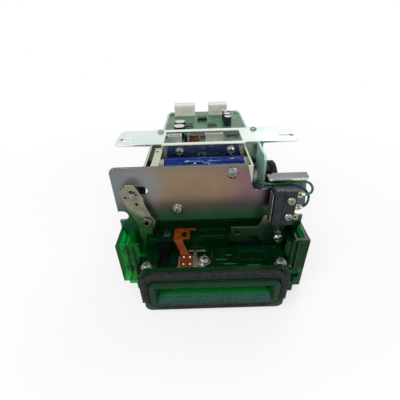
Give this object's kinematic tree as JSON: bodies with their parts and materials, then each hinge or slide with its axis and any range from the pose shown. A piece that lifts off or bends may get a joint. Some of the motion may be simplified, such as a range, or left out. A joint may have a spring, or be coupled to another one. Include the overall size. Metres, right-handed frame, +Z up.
{
  "type": "motorised card reader",
  "caption": "Motorised card reader module: clear green entry bezel with a gasketed slot, plated front plate with shutter lever and switch, belt-driven roller transport behind.",
  "frame": {"origin": "under the middle of the slot's width, in the plane of the front plate's front face, on the underside of the base plate", "axes": "+X to the right seen from the slot side, +Y back along the card path, away from the user, +Z up"},
  "size_m": [0.108, 0.1712, 0.0736],
  "materials": {
    "zinc": "zinc plated sheet with a faint iridescence",
    "zinc_side": "zinc plated sheet",
    "green": "clear green moulding",
    "green_dark": "clear green moulding over black parts",
    "foam": "matt foam",
    "black": "matt moulding",
    "switch": "satin moulding",
    "steel": "bright steel",
    "lever": "dull steel",
    "spring": "spring steel",
    "brass": "tinned brass",
    "bronze": "sintered bronze",
    "flex": "polyimide film",
    "blue": "shrink sleeve",
    "wire": "plastic insulation",
    "rubber": "matt rubber",
    "white": "satin moulding",
    "board": "solder mask",
    "motor": "plated can"
  },
  "bodies": {
    "chassis": {"front_plate": "zinc", "left_side_plate": "zinc_side", "right_side_plate": "zinc_side", "base_plate": "zinc_side", "rear_plate": "zinc_side", "top_bracket": "zinc_side", "solenoid_bracket": "zinc_side", "solenoid_body": "steel", "solenoid_sleeve": "blue", "bezel_front": "green_dark", "bezel_housing": "green", "bezel_deck": "green_dark", "mouth_gasket": "foam", "entry_sensors": "black", "deck_screws": "steel", "plate_screws": "steel", "prehead_spring": "spring", "prehead_flex": "flex", "microswitch": "switch", "switch_terminals": "brass", "switch_screws": "steel", "switch_standoffs": "spring", "switch_wires": "wire", "lever_stud": "lever", "feeler_screw": "steel", "lower_guide": "black", "upper_guide": "black", "shaft_bushes": "bronze", "motor_can": "motor", "control_board": "board", "board_components": "black", "board_connectors": "white", "chassis_screws": "steel", "drive_belt": "rubber", "transport_belt": "rubber", "main_head_spring": "spring", "plunger_spring": "spring"},
    "plunger": {"solenoid_plunger": "steel", "link_pin": "steel", "pin_clip": "lever"},
    "lever": {"shutter_lever": "lever"},
    "shutter": {"shutter": "steel"},
    "feeler": {"feeler_lever": "lever"},
    "leaf": {"switch_leaf": "spring"},
    "prehead": {"prehead": "lever"},
    "main_head": {"main_head": "lever"},
    "motor_rotor": {"motor_shaft": "steel", "feed_knob": "black"},
    "front_drive": {"front_drive_shaft": "steel", "front_drive_rollers": "rubber", "front_pulley": "black"},
    "mid_drive": {"mid_drive_shaft": "steel", "mid_drive_rollers": "rubber", "mid_pulleys": "black"},
    "rear_drive": {"rear_drive_shaft": "steel", "rear_drive_rollers": "rubber", "rear_pulley": "black"},
    "front_pinch": {"front_pinch": "white"},
    "mid_pinch": {"mid_pinch": "white"},
    "rear_pinch": {"rear_pinch": "white"}
  },
  "joints": [
    {"name": "plunger_slide", "type": "slide", "parent": "chassis", "child": "plunger", "axis": [1, 0, 0], "range_m": [0, 0.0046], "stiffness_N_per_m": 150, "springref_m": -0.004, "deforming": ["plunger_spring"]},
    {"name": "lever_swing", "type": "hinge", "parent": "chassis", "child": "lever", "pos_m": [-0.0344, -0.0036, 0.0424], "axis": [0, 1, 0], "range_deg": [0, 15.3]},
    {"name": "shutter_drop", "type": "slide", "parent": "chassis", "child": "shutter", "axis": [0, 0, -1], "range_m": [0, 0.0046]},
    {"name": "feeler_swing", "type": "hinge", "parent": "chassis", "child": "feeler", "pos_m": [0.0358, -0.006, 0.0309], "axis": [0, -1, 0], "range_deg": [0, 6], "stiffness_Nm_per_rad": 0.02, "springref_deg": -8.59},
    {"name": "leaf_bend", "type": "hinge", "parent": "chassis", "child": "leaf", "pos_m": [0.0292, -0.0078, 0.0605], "axis": [0, 1, 0], "range_deg": [0, 6.4]},
    {"name": "prehead_float", "type": "slide", "parent": "chassis", "child": "prehead", "axis": [0, 0, 1], "range_m": [0, 0.0006], "stiffness_N_per_m": 800, "springref_m": -0.0005, "deforming": ["prehead_spring", "prehead_flex"]},
    {"name": "main_head_float", "type": "slide", "parent": "chassis", "child": "main_head", "axis": [0, 0, 1], "range_m": [0, 0.0006], "stiffness_N_per_m": 800, "springref_m": -0.0005, "deforming": ["main_head_spring"]},
    {"name": "drive_spin", "type": "hinge", "parent": "chassis", "child": "mid_drive", "pos_m": [0, 0.064, 0.00975], "axis": [1, 0, 0], "continuous": true},
    {"name": "motor_spin", "type": "hinge", "parent": "chassis", "child": "motor_rotor", "pos_m": [0.036, 0.0375, 0.043], "axis": [1, 0, 0], "continuous": true},
    {"name": "front_spin", "type": "hinge", "parent": "chassis", "child": "front_drive", "pos_m": [0, 0.02, 0.00975], "axis": [1, 0, 0], "continuous": true},
    {"name": "rear_spin", "type": "hinge", "parent": "chassis", "child": "rear_drive", "pos_m": [0, 0.108, 0.00975], "axis": [1, 0, 0], "continuous": true},
    {"name": "front_pinch_spin", "type": "hinge", "parent": "chassis", "child": "front_pinch", "pos_m": [0, 0.02, 0.02165], "axis": [1, 0, 0], "continuous": true},
    {"name": "mid_pinch_spin", "type": "hinge", "parent": "chassis", "child": "mid_pinch", "pos_m": [0, 0.064, 0.02165], "axis": [1, 0, 0], "continuous": true},
    {"name": "rear_pinch_spin", "type": "hinge", "parent": "chassis", "child": "rear_pinch", "pos_m": [0, 0.108, 0.02165], "axis": [1, 0, 0], "continuous": true}
  ],
  "couplings": [
    {"joint": "lever_swing", "follows": "plunger_slide", "rad_per_m": 57.71},
    {"joint": "shutter_drop", "follows": "plunger_slide", "ratio": 0.989},
    {"joint": "leaf_bend", "follows": "feeler_swing", "ratio": 1.05},
    {"joint": "motor_spin", "follows": "drive_spin", "ratio": 2},
    {"joint": "front_spin", "follows": "drive_spin", "ratio": 1},
    {"joint": "rear_spin", "follows": "drive_spin", "ratio": 1},
    {"joint": "front_pinch_spin", "follows": "drive_spin", "ratio": -1.3},
    {"joint": "mid_pinch_spin", "follows": "drive_spin", "ratio": -1.3},
    {"joint": "rear_pinch_spin", "follows": "drive_spin", "ratio": -1.3}
  ]
}
